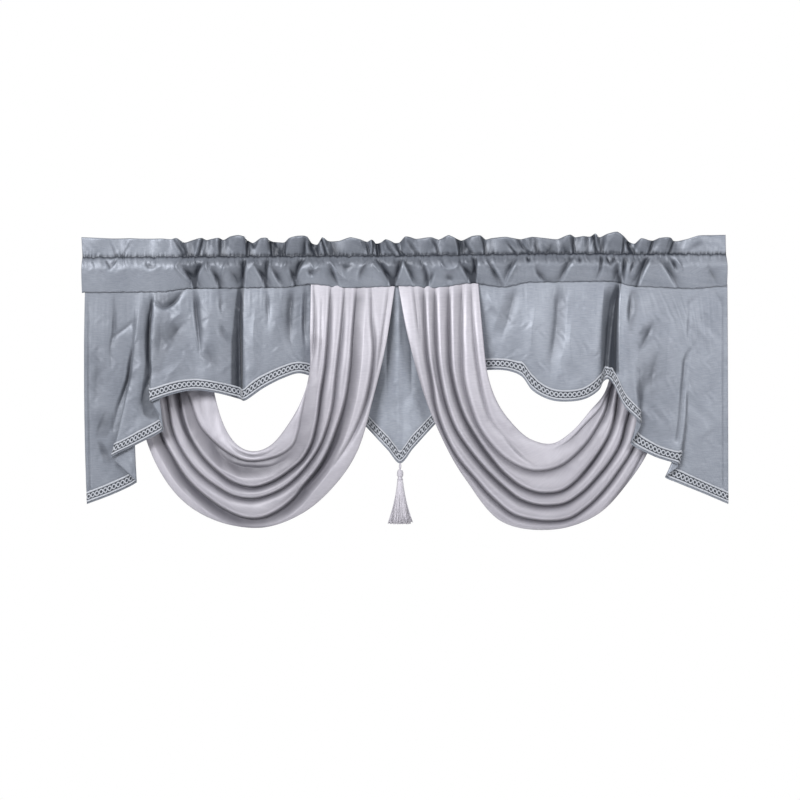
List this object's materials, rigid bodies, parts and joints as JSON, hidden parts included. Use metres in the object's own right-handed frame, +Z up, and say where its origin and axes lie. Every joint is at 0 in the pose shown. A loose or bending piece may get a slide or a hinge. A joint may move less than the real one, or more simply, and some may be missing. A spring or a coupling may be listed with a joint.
{
  "type": "rod-pocket swag valance curtain",
  "caption": "Rod-pocket valance with a ruffled heading, stepped side panels edged in gimp braid, pleated satin swags and a pointed middle drop with a tassel.",
  "frame": {"origin": "middle of the heading's top edge, in the middle plane of the hanging cloth", "axes": "+Z up, +X along the rod pocket to the right as seen from the front, -Y towards the room"},
  "size_m": [1.329, 0.0678, 0.6016],
  "materials": {
    "taffeta": "crisp blue-grey taffeta with a soft sheen",
    "satin": "silver-lilac satin",
    "braid": "woven gimp braid with light cord edges",
    "yarn": "silky silver yarn"
  },
  "bodies": {
    "root": {"heading": "taffeta", "panel_left": "taffeta", "panel_left_braid": "braid", "panel_right": "taffeta", "panel_right_braid": "braid", "pennant": "taffeta", "pennant_braid": "braid", "swag_left": "satin", "swag_right": "satin", "tassel": "yarn", "tassel_loop": "yarn"}
  },
  "joints": []
}
